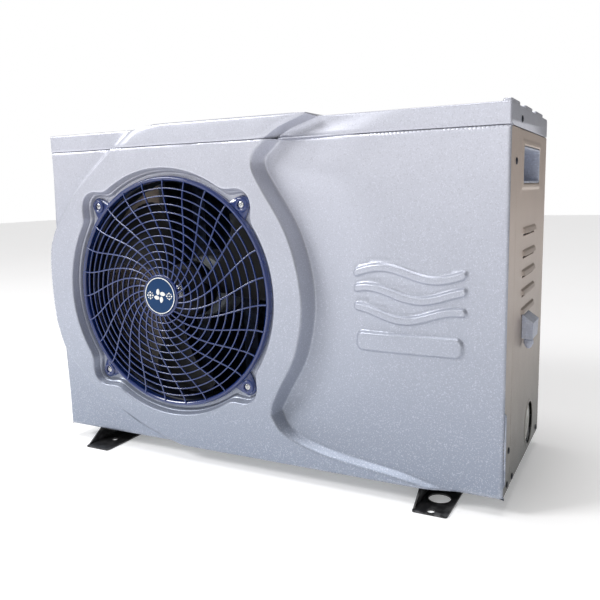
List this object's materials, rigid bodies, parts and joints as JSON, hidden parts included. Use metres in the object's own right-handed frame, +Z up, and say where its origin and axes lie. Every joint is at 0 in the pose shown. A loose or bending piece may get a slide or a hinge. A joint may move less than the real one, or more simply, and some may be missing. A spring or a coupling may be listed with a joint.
{
  "type": "heat pump unit",
  "caption": "Compact side-by-side pool and spa heat pump: moulded front with a raised field and a domed fan grille, sheet-metal sides, screw-on lid, black feet.",
  "frame": {"origin": "centre of the bounding box across and front to back, at the underside of the feet", "axes": "+X to the right seen from the front (the side with the water outlet), +Y from the fan grille towards the back, +Z up"},
  "size_m": [0.7576, 0.35, 0.5175],
  "materials": {
    "pearl_plastic": "satin metallic-flake moulding",
    "navy_plastic": "glossy navy",
    "badge_plastic": "glossy blue",
    "satin_steel": "satin grey coated sheet",
    "zinc_steel": "dull galvanised sheet",
    "black_steel": "satin black powder coat",
    "grey_plastic": "fine-textured pale grey",
    "black_plastic": "satin black",
    "screw_steel": "bright zinc-plated",
    "coil_aluminium": "bare fins",
    "cast_motor": "rough cast",
    "black_enamel": "black enamel",
    "mount_rubber": "dull",
    "white_plastic": "semi-gloss white",
    "valve_brass": "machined brass",
    "copper_tube": "copper-coloured tube"
  },
  "bodies": {
    "cabinet": {"front_panel": "pearl_plastic", "top_lid": "pearl_plastic", "fan_guard": "navy_plastic", "hub_badge": "badge_plastic", "front_frame": "satin_steel", "right_side_panel": "satin_steel", "left_side_panel": "satin_steel", "rear_panel": "satin_steel", "base_pan": "zinc_steel", "bulkhead": "zinc_steel", "fan_shroud": "zinc_steel", "coil_plate_left": "zinc_steel", "coil_plate_right": "zinc_steel", "motor_bracket": "zinc_steel", "control_box": "zinc_steel", "control_box_lid": "zinc_steel", "rear_guard": "black_steel", "foot_left": "black_steel", "foot_right": "black_steel", "handle_cup_right": "grey_plastic", "handle_cup_left": "grey_plastic", "cable_cover": "grey_plastic", "cable_gland": "grey_plastic", "flow_switch": "black_plastic", "guard_screw_1": "screw_steel", "guard_screw_2": "screw_steel", "guard_screw_3": "screw_steel", "guard_screw_4": "screw_steel", "lid_screw_right": "screw_steel", "lid_screw_left": "screw_steel", "side_screw_right_1": "screw_steel", "side_screw_right_2": "screw_steel", "side_screw_right_3": "screw_steel", "side_screw_right_4": "screw_steel", "side_screw_right_5": "screw_steel", "side_screw_left_1": "screw_steel", "side_screw_left_2": "screw_steel", "side_screw_left_3": "screw_steel", "side_screw_left_4": "screw_steel", "side_screw_left_5": "screw_steel", "evaporator_coil": "coil_aluminium", "fan_motor": "cast_motor", "compressor": "black_enamel", "accumulator": "black_enamel", "compressor_mount_1": "mount_rubber", "compressor_mount_2": "mount_rubber", "compressor_mount_3": "mount_rubber", "heat_exchanger": "white_plastic", "water_outlet": "white_plastic", "water_inlet": "white_plastic", "four_way_valve": "valve_brass", "expansion_valve": "valve_brass", "discharge_pipe": "copper_tube", "suction_pipe": "copper_tube", "liquid_pipe": "copper_tube"},
    "fan": {"fan_blade": "black_plastic", "fan_shaft": "screw_steel", "fan_nut": "screw_steel"},
    "outlet_union": {"outlet_nut": "white_plastic"},
    "inlet_union": {"inlet_nut": "white_plastic"}
  },
  "joints": [
    {"name": "fan_spin", "type": "hinge", "parent": "cabinet", "child": "fan", "pos_m": [-0.1422, 0, 0.264], "axis": [0, 1, 0], "continuous": true},
    {"name": "outlet_nut_turn", "type": "hinge", "parent": "cabinet", "child": "outlet_union", "pos_m": [0.355, 0.046, 0.066], "axis": [1, 0, 0], "continuous": true},
    {"name": "inlet_nut_turn", "type": "hinge", "parent": "cabinet", "child": "inlet_union", "pos_m": [0.2978, 0.13, 0.313], "axis": [0, 1, 0], "continuous": true}
  ]
}
